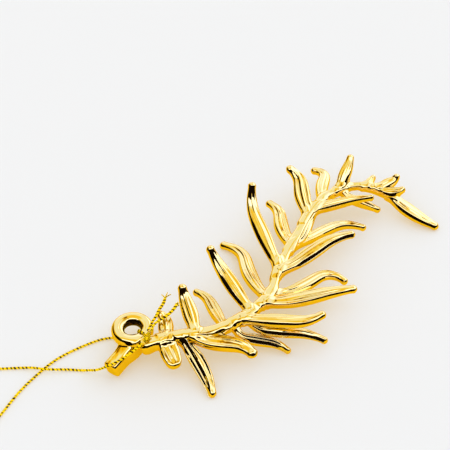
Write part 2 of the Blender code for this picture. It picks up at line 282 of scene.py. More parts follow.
# Leaves from the eyelet on. Station and length are in hundredths of the stem's length, width is a share of
# LEAF_WIDTH, drop is in millimetres below the stem's axis, blunt is the share of the width left where the
# round end starts, and the rest is in degrees
Leaf = namedtuple(
    "Leaf",
    "name station heading length width spring turn hook rise curl drop blunt",
    defaults=(0.0, 0.0, 0.0, 0.0, 0.0, 0.0, 0.5),
)
LEAVES = [
    Leaf("far_1", 7.0, 86, 9.3, 1.15, turn=22, hook=48, rise=6),
    Leaf("far_2", 14.7, 101, 14.5, 1.18, turn=14, hook=-4, rise=14, curl=40),
    Leaf("far_3", 22.8, 115, 16.8, 0.95, turn=-6, hook=45, rise=-4, drop=1.0),
    Leaf("far_4", 30.9, 121, 22.1, 1.16, turn=1, hook=10, rise=12, curl=38),
    Leaf("far_5", 38.0, 121, 30.7, 1.17, turn=-42, hook=71, rise=-12.2, drop=1.0),
    Leaf("far_6", 48.6, 111, 27.5, 1.13, hook=-27, rise=12, curl=35),
    Leaf("far_7", 58.3, 115, 21.2, 1.17, turn=-41, hook=60, rise=-6, drop=1.0),
    Leaf("far_8", 70.5, 105, 18.0, 1.30, turn=-21, hook=78, rise=9, curl=25),
    Leaf("far_9", 78.2, 94, 16.8, 1.05, turn=-36, hook=115, rise=-5, drop=1.0),
    Leaf("far_10", 84.8, 65, 11.3, 1.00, hook=12, rise=28),
    Leaf("far_11", 93.4, 60, 5.1, 0.66, hook=-20, rise=5, drop=0.8),
    Leaf("far_12", 96.4, 20, 7.8, 0.9, hook=38, rise=17, curl=30),
    Leaf("end_small", 97.4, -35, 7.6, 0.86, turn=70, rise=6),
    Leaf("end_long", 100.0, -42, 17.1, 1.2, turn=20, rise=-16.3),
    Leaf("near_1", 6.8, -68, 8.3, 1.42, rise=-13, blunt=0.85),
    Leaf("near_2", 10.8, -45, 17.9, 1.15, turn=-26, hook=-6, rise=-22.6),
    Leaf("near_3", 13.4, -4, 18.2, 1.30, spring=-25, hook=-49, rise=-5, blunt=0.6),
    Leaf("near_4", 25.3, 5, 17.2, 0.83, spring=-75, turn=-1, hook=-38, rise=-19, drop=1.5),
    Leaf("near_5", 27.0, -1, 22.7, 1.12, turn=-11, hook=46, rise=3),
    Leaf("near_6", 29.3, 2, 22.7, 0.91, spring=-54, turn=4, hook=-31, rise=-11, drop=1.0),
    Leaf("near_7", 35.5, 13, 25.3, 1.17, spring=-14, turn=7, hook=-20, curl=10),
    Leaf("near_8", 39.7, 23, 23.8, 0.98, spring=-17, turn=35, hook=-106, rise=-4, drop=1.0),
    Leaf("near_9", 47.0, 39, 25.7, 1.18, spring=-7, turn=2, hook=-32, rise=3),
    Leaf("near_10", 57.8, 49, 25.1, 0.91, spring=-10, turn=-25, hook=-46, rise=-6, drop=1.0),
    Leaf("near_11", 68.8, 23, 22.4, 0.86, spring=42, turn=-7, hook=-11),
    Leaf("near_11_heel", 58.6, 70, 14.1, 0.69, spring=-50, drop=0.8),
    Leaf("near_12", 86.2, -14, 12.7, 0.77, spring=-57, hook=-8, rise=-16, drop=0.6),
]

# Finishes
GOLD_DEEP = (1.0, 0.79, 0.37, 1.0)
GOLD_PALE = (1.0, 0.83, 0.44, 1.0)
GOLD_PATCH_SCALE = 90.0
GOLD_PATCH_DETAIL = 3.0
GOLD_ROUGHNESS = (0.02, 0.05)
GOLD_WAVE_SCALE = 420.0
GOLD_WAVE_STRENGTH = 0.2
GOLD_WAVE_DEPTH_M = 0.0003
# Painted shade: the dark brown inside the eyelet's bore, and over what width it fades out
BORE_PAINTED_SHADE_BROWN = (0.06, 0.035, 0.012, 1.0)
BORE_PAINTED_SHADE_EDGE_M = 0.0005
THREAD_YELLOW = (0.92, 0.62, 0.0, 1.0)
THREAD_GROOVE = (0.045, 0.022, 0.0, 1.0)
THREAD_ROUGHNESS = 0.3
THREAD_SPECULAR = 0.06
# Painted light: how strongly the thread glows in its own colour
THREAD_PAINTED_GLOW = 0.15
THREAD_GROOVE_EDGE = (0.17, 0.27, 0.0, 1.0)
THREAD_NOISE_SCALE = 650.0
THREAD_NOISE_MIDDLE = 0.45
THREAD_NOISE_REACH = 0.8

# Floor
FLOOR_REACH_M = 2.5
FLOOR_HEIGHT_M = -0.0001
FLOOR_ROUGHNESS = 0.8
FLOOR_SPECULAR = 0.1
# Each tint is (as seen, as reflected in the gold). The reflected one is a painted warm glow that stands in
# for light bounced off the gold.
FLOOR_TINTS = {
    "Base Color": ((0.44, 0.56, 0.73, 1.0), (0.54, 0.36, 0.003, 1.0)),
    "Emission Color": ((0.406, 0.281, 0.122, 1.0), (0.36, 0.24, 0.002, 1.0)),
}

# Studio dome: a ramp is (start, end, value at the start, value at the end), over x, y or z of a direction.
# First, where the dark ends
BACK_LEAN = 0.22
EDGE_TO_BACK = (0.35, 0.8, 0.42, 0.03)
EDGE_IN_FRONT = (-0.38, -0.12, 0.46, 0.0)
EDGE_LEFT_BY_Y = (0.05, 0.3, 0.4, 0.0)
EDGE_LEFT_BY_X = (-0.6, -0.35, 1.0, 0.0)
EDGE_SOFTNESS = (-0.05, 0.05, 0.0, 1.0)
# Then the light above it; the product of two ramps makes each gap
LEVEL_BASE = 0.45
BROAD_BY_X = (-0.68, -0.34, 0.0, 1.0)
BROAD_BY_Z = (0.45, 0.68, 0.75, 0.40)
RIGHT_BY_X = (0.12, 0.45, 0.0, 0.6)
RIGHT_BY_Z = (0.62, 0.86, 1.0, 0.0)
FRONT_STRIP = (-0.2, -0.06, 1.0, 0.0)
OVERHEAD_BY_Z = (0.84, 0.93, 0.0, -0.34)
OVERHEAD_BY_Y = (-0.06, 0.06, 0.0, 1.0)
GAP_BY_Z = ((0.42, 0.5, 0.0, -0.35), (0.54, 0.62, 1.0, 0.0))
GAP_BY_X = ((0.1, 0.17, 0.0, -0.35), (0.22, 0.3, 1.0, 0.0))
# Colour and strength by the level of light
COLOUR_BY_LEVEL = {
    "Red": (0.0, 0.5, 0.006, 0.93),
    "Green": (0.0, 0.8, 0.003, 0.95),
    "Blue": (0.42, 1.0, 0.0005, 1.0),
}
STRENGTH_BY_LEVEL = (1.0, 1.6, 1.0, 1.9)
SOFT_WHITE = (1.0, 0.99, 0.975, 1.0)
SOFT_STRENGTH = 1.05


# Curves and frames


def eased(x):
    """0 below 0, 1 above 1, and 3x^2 - 2x^3 between."""
    x = np.clip(x, 0.0, 1.0)
    return x * x * (3.0 - 2.0 * x)


def along_part(t, growth, fade_from, fade_length):
    """How much of a relief is there at t: it grows from 0 over a length, and fades to 0 over another."""
    return eased(t / growth) * (1.0 - eased((t - fade_from) / fade_length))


def spline(points):
    """The natural cubic spline through the points, read at an even step.

    With h the gaps between points, its second differences m are zero at both ends and solve
    h[i-1] m[i-1] + 2 (h[i-1] + h[i]) m[i] + h[i] m[i+1] = 6 (slope[i] - slope[i-1]).
    """
    points = np.array(points, float)
    count = len(points)
    gaps = np.linalg.norm(np.diff(points, axis=0), axis=1)
    knots = np.append(0.0, np.cumsum(gaps))
    slopes = np.diff(points, axis=0) / gaps[:, None]
    inner = np.arange(1, count - 1)
    matrix = np.eye(count)
    matrix[inner, inner - 1] = gaps[:-1]
    matrix[inner, inner] = 2 * (gaps[:-1] + gaps[1:])
    matrix[inner, inner + 1] = gaps[1:]
    right = np.zeros_like(points)
    right[1:-1] = 6 * np.diff(slopes, axis=0)
    bends = np.linalg.solve(matrix, right)
    along = np.linspace(0.0, knots[-1], SPLINE_STEPS * count)
    i = np.clip(np.searchsorted(knots, along, side="right") - 1, 0, count - 2)
    gap = gaps[i, None]
    after = (along - knots[i])[:, None] / gap
    before = 1.0 - after
    return (
        before * points[i]
        + after * points[i + 1]
        + ((before**3 - before) * bends[i] + (after**3 - after) * bends[i + 1]) * gap**2 / 6
    )


def lengths_along(points):
    return np.append(0.0, np.cumsum(np.linalg.norm(np.diff(points, axis=0), axis=1)))


def read_at(where, measure, points):
    return np.column_stack([np.interp(where, measure, points[:, axis]) for axis in range(3)])


def smooth_route(points, spacing):
    """The smooth curve through the points, read at even steps of about the spacing."""
    fine = spline(points)
    along = lengths_along(fine)
    steps = max(2, round(along[-1] / spacing))
    return read_at(np.linspace(0.0, along[-1], steps + 1), along, fine)


def unit(vectors):
    return vectors / np.linalg.norm(vectors, axis=-1, keepdims=True)


def directions(route):
    """The direction of travel at each point of a route, from the points on each side of it."""
    return unit(np.gradient(route, axis=0))


def carried_frames(route):
    """Two vectors square to the route at each step, turned as little as possible from one to the next."""
    ahead = directions(route)
    across = np.empty_like(ahead)
    across[0] = unit(np.cross(ahead[0], FIRST_UP))
    for step in range(1, len(route)):
        kept = across[step - 1] - ahead[step] * np.dot(across[step - 1], ahead[step])
        across[step] = kept / np.linalg.norm(kept)
    return across, np.cross(ahead, across)


def level_frames(heading, pitch, roll):
    """The sideways and upward vectors of a bar that runs at a heading and pitch, rolled about itself."""
    level = np.column_stack([np.sin(heading), -np.cos(heading), np.zeros_like(heading)])
    upward = np.column_stack(
        [-np.sin(pitch) * np.cos(heading), -np.sin(pitch) * np.sin(heading), np.cos(pitch)]
    )
    sideways = level * math.cos(roll) + upward * math.sin(roll)
    return sideways, upward * math.cos(roll) - level * math.sin(roll)


def place(points):
    """Millimetres from the eyelet's centre, made metres in the frame."""
    return np.asarray(points, float) * MM + EYELET_CENTRE


# Meshes


def wall_faces(count, around, wraps):
    """The quads between one ring and the next, and the UV of each of their corners."""
    rows = count if wraps else count - 1
    k, i = np.meshgrid(np.arange(rows), np.arange(around), indexing="ij")
    j = (i + 1) % around
    ring, following = k * around, (k + 1) % count * around
    quads = np.stack([ring + i, ring + j, following + j, following + i], axis=-1).reshape(-1, 4)
    across = np.stack([i, i + 1, i + 1, i], axis=-1).reshape(-1, 4) / around
    down = np.stack([k, k, k + 1, k + 1], axis=-1).reshape(-1, 4)
    return quads, np.stack([down, across], axis=-1).reshape(-1, 2)


def fan_faces(count, around):
    """The triangles that close the end rings about two added points, and the UV of each of their corners."""
    i = np.arange(around)
    j = (i + 1) % around
    last = (count - 1) * around
    first_fan = np.column_stack([j, i, np.full(around, count * around)])
    last_fan = np.column_stack([last + i, last + j, np.full(around, count * around + 1)])
    first_across = np.column_stack([i + 1, i, i + 0.5]) / around
    last_across = np.column_stack([i, i + 1, i + 0.5]) / around
    first_uvs = np.stack([np.zeros((around, 3)), first_across], axis=-1)
    last_uvs = np.stack([np.full((around, 3), count - 1.0), last_across], axis=-1)
    return np.concatenate([first_fan, last_fan]), np.concatenate([first_uvs, last_uvs]).reshape(-1, 2)


def skin(name, shells):
    """One smooth mesh of closed shells, each a grid of rings whose end rings are closed about their middles.

    Each shell is (points, wraps): points[k, i] is point i of ring k, and wraps says that the last ring meets
    the first one instead of being closed by fans. A loop's UV is (ring, share of the way round).
    """
    points, faces, counts, uvs = [], [], [], []
    start = 0
    for rings, wraps in shells:
        count, around = rings.shape[:2]
        quads, quad_uvs = wall_faces(count, around, wraps)
        points.append(rings.reshape(-1, 3))
        faces.append((quads + start).ravel())
        counts.append(np.full(len(quads), 4))
        uvs.append(quad_uvs)
        if not wraps:
            fans, fan_uvs = fan_faces(count, around)
            points.append(rings[[0, -1]].mean(axis=1))
            faces.append((fans + start).ravel())
            counts.append(np.full(len(fans), 3))
            uvs.append(fan_uvs)
        start += count * around + (0 if wraps else 2)
    points = place(np.concatenate(points))
    faces = np.concatenate(faces)
    counts = np.concatenate(counts)
    mesh = bpy.data.meshes.new(name)
    mesh.vertices.add(len(points))
    mesh.vertices.foreach_set("co", points.ravel())
    mesh.loops.add(len(faces))
    mesh.loops.foreach_set("vertex_index", faces)
    mesh.polygons.add(len(counts))
    mesh.polygons.foreach_set("loop_start", np.append(0, np.cumsum(counts)[:-1]))
    mesh.update(calc_edges=True)
    layer = mesh.uv_layers.new(name="around")
    layer.uv.foreach_set("vector", np.concatenate(uvs).ravel())
    mesh.validate()
    mesh.shade_smooth()
    made = bpy.data.objects.new(name, mesh)
    bpy.context.scene.collection.objects.link(made)
    return made


def outward(obj):
    """The mesh with every shell's faces turned outwards."""
    mesh = bmesh.new()
    mesh.from_mesh(obj.data)
    bmesh.ops.recalc_face_normals(mesh, faces=mesh.faces)
    mesh.to_mesh(obj.data)
    mesh.free()
    return obj


# Branch


def of_stem(share):
    """Hundredths of the stem's length, made millimetres."""
    return share * STEM_LENGTH / 100.0


def stem_middle():
    return spline(of_stem(np.array(STEM_ROUTE)))


def stem_radius(distance):
    at, radius = np.array(STEM_RADII).T
    return np.interp(distance, at, radius)


def box_outline(angle, squareness):
    """A rounded box: across is cos a, and up is (1 - |across|^(2/s))^(s/2) with the sign of sin a."""
    across = np.cos(angle) + np.zeros_like(squareness)
    up = (1.0 - np.abs(across) ** (2.0 / squareness)) ** (squareness / 2.0)
    return across, np.where(np.sin(angle) < 0.0, -up, up)


def pressed_channels(width):
    """How deep a leaf's top is pressed at a share of its half width: two channels beside a midrib.

    It is sin^2(pi u), where u is the share over LEAF_RIM_AT, held to -1..1.
    """
    return np.sin(math.pi * np.clip(width / LEAF_RIM_AT, -1.0, 1.0)) ** 2


def flow_lines(width, t, phase):
    """Uneven shallow lines that drift across a leaf on their way along it, and fade at its rims.

    They are (1 - w^4) times the sum of c cos(2 pi (f w + g t) + k phase), with f, g, k and c from FLOW_WAVES.
    """
    waves = sum(
        weight * np.cos(2 * math.pi * (count * width + drift * t) + turn * phase)
        for count, drift, turn, weight in FLOW_WAVES
    )
    return (1.0 - width**4) * waves


def slanted(height, width, start, fall):
    """The lower of a height and a slope that falls from 1 where the flank starts, with the edge rounded.

    The lower of a and b is (a^-p + b^-p)^(-1/p).
    """
    slope = np.maximum(1.0 - fall * (width - start), FLANK_LOWEST)
    top = np.maximum(height, FLANK_LEAST_HEIGHT)
    lower = (top**-FLANK_EDGE_POWER + slope**-FLANK_EDGE_POWER) ** (-1.0 / FLANK_EDGE_POWER)
    return np.where(height > 0.0, np.minimum(lower, height), height)


def leaf_length(leaf):
    return of_stem(leaf.length)


def leaf_path(leaf):
    """Points from the stem's axis to the tip, with the heading and pitch at each."""
    stem = stem_middle()
    root = read_at([of_stem(leaf.station)], lengths_along(stem), stem)[0]
    root[2] -= leaf.drop
    t = np.linspace(0.0, 1.0, LEAF_PATH_STEPS)
    near_tip = eased((t - LEAF_HOOK_FROM) / (1.0 - LEAF_HOOK_FROM))
    near_root = 1.0 - eased(t / LEAF_SPRING_TO)
    heading = np.radians(leaf.heading + leaf.spring * near_root + leaf.turn * t + leaf.hook * near_tip)
    pitch = np.radians(leaf.rise + leaf.curl * near_tip)
    ahead = np.column_stack(
        [np.cos(pitch) * np.cos(heading), np.cos(pitch) * np.sin(heading), np.sin(pitch)]
    )
    middle = (ahead[1:] + ahead[:-1]) / 2
    steps = np.vstack([np.zeros(3), middle * leaf_length(leaf) / (LEAF_PATH_STEPS - 1)])
    return t, root + np.cumsum(steps, axis=0), heading, pitch


def fillet(gap, size=ROOT_FILLET):
    """How far a skin swells at a gap g from its neighbour: (sqrt k - sqrt g)^2 up to k, k/4 within k/4."""
    near = np.clip(gap, size / 4, size)
    return (math.sqrt(size) - np.sqrt(near)) ** 2


Bar = namedtuple("Bar", "middle sideways upward half_width half_height squareness")


def gap_to_bar(points, bar):
    """The distance from each point to a bar's skin, along the line to the nearest of the bar's middle points.

    With a and b the point's offsets over the bar's half sizes, q = (|a|^n + |b|^n)^(1/n) and n two over the
    squareness, the gap is the offset times 1 - 1/q, and at least the offset less WIDEST_BAR.
    """
    flat = points.reshape(-1, 3)
    away = np.linalg.norm(flat[:, None] - bar.middle[None], axis=2)
    nearest = away.argmin(axis=1)
    offset = flat - bar.middle[nearest]
    power = 2.0 / bar.squareness
    across = np.abs(np.sum(offset * bar.sideways[nearest], axis=1)) / bar.half_width[nearest]
    above = np.abs(np.sum(offset * bar.upward[nearest], axis=1)) / bar.half_height[nearest]
    reach = np.maximum((across**power + above**power) ** (1.0 / power), LEAST_REACH)
    gap = np.linalg.norm(offset, axis=1) * (1.0 - 1.0 / reach)
    return np.maximum(gap, away.min(axis=1) - WIDEST_BAR).reshape(points.shape[:-1])


def gap_to_eyelet(points):
    ring_radius = EYELET_HOLE_RADIUS + EYELET_TUBE_RADIUS
    from_ring = np.hypot(points[..., 0], points[..., 1]) - ring_radius
    return np.hypot(from_ring, points[..., 2]) - EYELET_TUBE_RADIUS


def swollen(rings, offset, swellings):
    """The rings, moved out along their offsets by the largest of the swellings."""
    return rings + unit(offset) * np.maximum.reduce(swellings)[..., None]


def leaf_shape(leaf, body_steps, end_angles):
    """Where a leaf's rings lie, and their half sizes: it grows to its widest place, then shrinks to the tip.

    The end is a quarter circle at the given angles, a little swollen into a knob, and the thickness follows
    the width by a share. A blunt leaf has no knob, and at a share p of its end it is (1 - p^4)^(1/4) as
    thick, so its top stays level nearly to the end.
    """
    path_t, path, heading, pitch = leaf_path(leaf)
    blunt = leaf.blunt > LEAF_BLUNT_FROM
    full_width = leaf.width * LEAF_WIDTH
    end_from = 1.0 - leaf.blunt * full_width / 2 / leaf_length(leaf)
    body = np.linspace(0.0, end_from, body_steps)
    end = 1.0 - (1.0 - end_from) * (1.0 - np.sin(np.radians(end_angles)))
    t = np.append(body, end)
    swell = LEAF_ROOT_SHARE + (1 - LEAF_ROOT_SHARE) * eased(t / LEAF_WIDEST_AT)
    narrowing = np.clip((t - LEAF_WIDEST_AT) / (end_from - LEAF_WIDEST_AT), 0.0, 1.0)
    share = np.minimum(swell, 1 - (1 - leaf.blunt) * narrowing**LEAF_TAPER_POWER)
    past = np.maximum((t - end_from) / (1.0 - end_from), 0.0)
    from_knob = ((1.0 - t) * leaf_length(leaf) - full_width * KNOB_FROM_TIP) / KNOB_LENGTH
    knob = 0.0 if blunt else KNOB_SWELL
    rounding = np.sqrt(1.0 - past**2) * (1.0 + knob * np.exp(-(from_knob**2)))
    edge = (1.0 - past**4) ** 0.25 if blunt else rounding
    sideways, upward = level_frames(np.interp(t, path_t, heading), np.interp(t, path_t, pitch), 0.0)
    half_width = full_width / 2 * share * rounding
    half_height = LEAF_THICKNESS / 2 * (1.0 - LEAF_END_THINNING * (1.0 - share)) * edge
    return t, Bar(read_at(t, path_t, path), sideways, upward, half_width, half_height, LEAF_SQUARENESS)


def bar_section(bar, width, height):
    """Offsets from a bar's middle for a section given in shares of its half sizes."""
    return (
        bar.half_width[:, None, None] * width[..., None] * bar.sideways[:, None]
        + bar.half_height[:, None, None] * height[..., None] * bar.upward[:, None]
    )


def box_section(bar, sides):
    """Offsets from a bar's middle for the rounded box of its own squareness, at even angles."""
    width, height = box_outline(np.arange(sides) * 2 * math.pi / sides, bar.squareness)
    shape = (len(bar.middle), sides)
    return bar_section(bar, np.broadcast_to(width, shape), np.broadcast_to(height, shape))


def leaf_top(leaf, t, width, height):
    """The height of a leaf's section, pressed by its channels and flow lines and cut by its flanks."""
    flute = LEAF_FLUTES.get(leaf.name, LEAF_FLUTE)
    kept = along_part(t, *CHANNELS_ALONG)[:, None]
    lines = LEAF_LINES * (LINES_WITHOUT_FLUTE + flute) * flow_lines(width, t[:, None], leaf.station)
    height = height - np.where(height > 0.0, kept * (flute * pressed_channels(width) + lines), 0.0)
    grown = eased(t / RIGHT_FLANK_GROWTH)[:, None]
    start = NO_FLANK_AT + (RIGHT_FLANKS.get(leaf.name, 1.0) - NO_FLANK_AT) * grown
    height = slanted(height, width, start, RIGHT_FLANK_SLOPE)
    if leaf.name in LEFT_FLANKS:
        grown = along_part(t, *LEFT_FLANK_ALONG)[:, None]
        start = NO_FLANK_AT + (LEFT_FLANKS[leaf.name] - NO_FLANK_AT) * grown
        height = slanted(height, -width, start, LEFT_FLANK_SLOPE)
    return height


def leaf_rings(leaf, stem):
    """Rings of points across a leaf, boxy at its root and round at its tip, swollen towards stem and eyelet.

    Its top is lifted to the stem's at its root, and it is flat where it lies on the table. A blunt leaf is
    boxy all along.
    """
    steps = LEAF_LEAST_STEPS + round(leaf_length(leaf) * LEAF_STEPS_PER_MM)
    t, bar = leaf_shape(leaf, steps, LEAF_END_ANGLES)
    angle = np.append(
        np.arange(LEAF_TOP_SIDES) * math.pi / LEAF_TOP_SIDES,
        (1.0 + np.arange(LEAF_UNDER_SIDES) / LEAF_UNDER_SIDES) * math.pi,
    )
    on_top = BOXY_TOPS.get(leaf.name, LEAF_TOP_SQUARENESS)
    boxy = np.where(np.sin(angle) > 0.0, on_top, LEAF_SQUARENESS)
    rounded = eased((t[:, None] - LEAF_ROUND_FROM) / (1.0 - LEAF_ROUND_FROM))
    rounded = rounded * (leaf.blunt < LEAF_BLUNT_FROM)
    width, height = box_outline(angle, boxy + (1.0 - boxy) * rounded)
    height = leaf_top(leaf, t, width, height)
    lift = stem_radius(of_stem(leaf.station)) - leaf.drop - bar.half_height[0]
    lift = max(lift, 0.0) * (1.0 - eased(t / LEAF_LIFT_TO)) / bar.half_height
    height = height * np.where(height > 0.0, 1.0 + lift[:, None], 1.0)
    offset = bar_section(bar, width, height)
    rings = bar.middle[:, None] + offset
    rings = swollen(rings, offset, [fillet(gap_to_bar(rings, stem)), fillet(gap_to_eyelet(rings))])
    rings[..., 2] = np.maximum(rings[..., 2], TABLE_HEIGHT)
    return rings


def stem_bar(t, middle, rounding):
    ahead = directions(middle)
    heading = np.unwrap(np.arctan2(ahead[:, 1], ahead[:, 0]))
    sideways, upward = level_frames(heading, np.arcsin(ahead[:, 2]), 0.0)
    radius = stem_radius(t) * rounding
    return Bar(middle, sideways, upward, radius, radius, STEM_SQUARENESS)


def plain_stem():
    """The stem as a bar read at an even step, to measure gaps from."""
    middle = smooth_route(of_stem(np.array(STEM_ROUTE)), GAP_STEP)
    return stem_bar(lengths_along(middle), middle, np.ones(len(middle)))


def stem_rings():
    """Rings round the stem's route with both ends rounded, swollen towards each leaf and the eyelet."""
    fine = stem_middle()
    along = lengths_along(fine)
    whole = along[-1]
    body = np.linspace(STEM_END_LENGTH, whole - STEM_END_LENGTH, STEM_STEPS)
    t = np.concatenate([STEM_END_STEPS, body, whole - STEM_END_STEPS[::-1]])
    from_end = np.minimum(t, whole - t)
    rounding = np.sqrt(1.0 - (1.0 - np.clip(from_end / STEM_END_ROUNDING, 0.0, 1.0)) ** 2)
    bar = stem_bar(t, read_at(t, along, fine), rounding)
    offset = box_section(bar, STEM_SIDES)
    rings = bar.middle[:, None] + offset
    leaf_bars = [leaf_shape(leaf, GAP_LEAF_STEPS, GAP_LEAF_END_ANGLES)[1] for leaf in LEAVES]
    gaps = [gap_to_bar(rings, leaf_bar) for leaf_bar in leaf_bars]
    return swollen(rings, offset, [fillet(np.minimum.reduce([*gaps, gap_to_eyelet(rings)]))])


def eyelet_rings(stem, stub):
    """A ring lying flat, rounder inside than out, with a thin pressed line round its top.

    It is swollen towards the stem and the stub.
    """
    ring_radius = EYELET_HOLE_RADIUS + EYELET_TUBE_RADIUS
    turn = np.arange(EYELET_STEPS) * 2 * math.pi / EYELET_STEPS
    angle = np.arange(EYELET_TUBE_STEPS) * 2 * math.pi / EYELET_TUBE_STEPS
    width, height = box_outline(angle, np.where(np.cos(angle) < 0.0, 1.0, EYELET_SQUARENESS))
    line = EYELET_LINE_DEPTH * np.exp(-(((width - EYELET_LINE_AT) / EYELET_LINE_WIDTH) ** 2))
    height = height - np.where(height > 0.0, line, 0.0)
    width = np.where(width < 0.0, EYELET_BORE_SHARE * width, width)
    outwards = np.column_stack([np.cos(turn), np.sin(turn), np.zeros(len(turn))])
    upwards = np.array([0.0, 0.0, 1.0])
    offset = EYELET_TUBE_RADIUS * (
        width[None, :, None] * outwards[:, None] + height[None, :, None] * upwards
    )
    rings = ring_radius * outwards[:, None] + offset
    to_stub = fillet(gap_to_bar(rings, stub), STUB_FILLET)
    return swollen(rings, offset, [fillet(gap_to_bar(rings, stem)), to_stub])


def stub_shape():
    """The stub from inside the eyelet's front to a flat cut end with a rounded edge."""
    heading, slope, roll = (math.radians(angle) for angle in (STUB_HEADING, STUB_SLOPE, STUB_ROLL))
    ahead = np.array(
        [math.cos(slope) * math.cos(heading), math.cos(slope) * math.sin(heading), math.sin(slope)]
    )
    body = np.linspace(-STUB_HIDDEN_LENGTH, STUB_LENGTH - STUB_END_ROUNDING, STUB_STEPS)
    past = np.sin(np.radians(STUB_END_ANGLES))
    along = np.append(body, STUB_LENGTH - STUB_END_ROUNDING * (1.0 - past))
    flare = 1.0 + (STUB_ROOT_SHARE - 1.0) * (1.0 - eased(along / STUB_FLARE_LENGTH))
    inset = np.append(np.zeros(STUB_STEPS), STUB_END_ROUNDING * (1.0 - np.sqrt(1.0 - past**2)))
    half = STUB_WIDTH / 2 * flare - inset
    sideways, upward = level_frames(np.full(len(along), heading), np.full(len(along), slope), roll)
    return Bar(np.array(STUB_ROOT) + along[:, None] * ahead, sideways, upward, half, half, STUB_SQUARENESS)


def stub_rings(stub):
    offset = box_section(stub, STUB_SIDES)
    rings = stub.middle[:, None] + offset
    return swollen(rings, offset, [fillet(gap_to_eyelet(rings), STUB_FILLET)])


def make_branch(finish):
    stem, stub = plain_stem(), stub_shape()
    shells = [(stem_rings(), False), (stub_rings(stub), False), (eyelet_rings(stem, stub), True)]
    shells += [(leaf_rings(leaf, stem), False) for leaf in LEAVES]
    branch = outward(skin("leaf_branch_plated", shells))
    branch.data.materials.append(finish)
    return branch


# Cord


def wound_rings(route, radius, pitch):
    """A strip wound round a core: the radius is r (1 - g (0.5 - 0.5 cos(a - twist))) at angle a."""
    across, upward = carried_frames(route)
    angle = np.arange(CORD_SIDES) * 2 * math.pi / CORD_SIDES
    twist = lengths_along(route) * 2 * math.pi / pitch
    groove = 0.5 - 0.5 * np.cos(angle[None, :] - twist[:, None])
    reach = (np.reshape(radius, (-1, 1)) * (1.0 - WINDING_GROOVE * groove))[..., None]
    sideways = np.cos(angle)[None, :, None] * across[:, None]
    section = sideways + np.sin(angle)[None, :, None] * upward[:, None]
    return route[:, None] + reach * section


def knot_route():
    """A trefoil squeezed into the knot's box: x = sin t + 2 sin 2t, y = cos t - 2 cos 2t, z = -sin 3t."""
    t = np.arange(KNOT_STEPS) * 2 * math.pi / KNOT_STEPS
    loop = np.column_stack([np.sin(t) + 2 * np.sin(2 * t), np.cos(t) - 2 * np.cos(2 * t), -np.sin(3 * t)])
    loop = loop / np.abs(loop).max(axis=0)
    turn = math.radians(KNOT_HEADING)
    flat = loop * (np.array(KNOT_HALF_SIZES) - CORD_DIAMETER / 2)
    turned = np.column_stack(
        [
            flat[:, 0] * math.cos(turn) - flat[:, 1] * math.sin(turn),
            flat[:, 0] * math.sin(turn) + flat[:, 1] * math.cos(turn),
            flat[:, 2],
        ]
    )
    return turned + np.array(KNOT_CENTRE)


def strand_rings(tail, reach):
    """A loose strand that leaves a tail a little before its end and bends away, thinner towards its tip.

    Its steps and its winding are half as long as the cord's.
    """
    leaves_at, end = tail[-1 - STRAND_STEPS_BACK], tail[-1]
    ahead = unit(end - leaves_at)
    reach = np.array(reach)
    bend = end + STRAND_BEND_OUT * reach + STRAND_BEND_AHEAD * np.linalg.norm(reach) * ahead
    route = smooth_route([leaves_at, end, bend, end + reach], CORD_STEP / 2)
    share = np.linspace(0.0, 1.0, len(route))
    return wound_rings(route, STRAND_RADIUS * (1.0 - STRAND_THINNING * share**3), WINDING_PITCH / 2)


def frayed_tail(name, points, strands):
    """A cut end of the cord, which opens by a share of its radius towards its end, and its loose strands."""
    tail = smooth_route(points, CORD_STEP)
    opened = CORD_CREST_RADIUS * (1.0 + TAIL_OPENING * eased(np.linspace(0.0, 1.0, len(tail))))
    shells = [(wound_rings(tail, opened, WINDING_PITCH), False)]
    shells += [(strand_rings(tail, reach), False) for reach in strands]
    return outward(skin(name, shells))


def make_cord(finish):
    route = smooth_route(CORD_ROUTE, CORD_STEP)
    loop = wound_rings(route, CORD_CREST_RADIUS, WINDING_PITCH)
    crossings = wound_rings(knot_route(), CORD_CREST_RADIUS, WINDING_PITCH)
    cord = outward(skin("hanging_cord_twisted", [(loop, False)]))
    knot = outward(skin("cord_knot_tied", [(crossings, True)]))
    long_end = frayed_tail("cord_tail_long_frayed", TAIL_LONG_ROUTE, TAIL_LONG_STRANDS)
    short_end = frayed_tail("cord_tail_short_frayed", TAIL_SHORT_ROUTE, TAIL_SHORT_STRANDS)
    for piece in (cord, knot, long_end, short_end):
        piece.data.materials.append(finish)
        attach(piece, "root")
    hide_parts("hanging_cord")
    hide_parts("cord_knot")
    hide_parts("cord_tail_long")
    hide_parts("cord_tail_short")


# Materials


def node(tree, kind, **settings):
    """A new node of a kind, with its settings given by name; its sockets keep their defaults."""
    made = tree.nodes.new(kind)
    for name, value in settings.items():
        setattr(made, name, value)
    return made


def math_node(tree, operation, first, second=None):
    """The result of a Math node on one or two sockets or numbers."""
    made = node(tree, "ShaderNodeMath", operation=operation)
    for socket, value in zip(made.inputs, (first, second)):
        if isinstance(value, (int, float)):
            socket.default_value = value
        elif value is not None:
            tree.links.new(value, socket)
    return made.outputs["Value"]


def ramp_node(tree, value, start, end, low, high):
    """A smooth step of a value from low at start to high at end."""
    made = node(tree, "ShaderNodeMapRange", interpolation_type="SMOOTHSTEP")
    tree.links.new(value, made.inputs["Value"])
    for name, number in (("From Min", start), ("From Max", end), ("To Min", low), ("To Max", high)):
        made.inputs[name].default_value = number
    return made.outputs["Result"]


def noise_node(tree, coordinate, scale, detail=1.0):
    """Noise on a coordinate, from 0 to 1 with a half in the middle."""
    made = node(tree, "ShaderNodeTexNoise")
    made.inputs["Scale"].default_value = scale
    made.inputs["Detail"].default_value = detail
    tree.links.new(coordinate, made.inputs["Vector"])
    return made.outputs["Fac"]


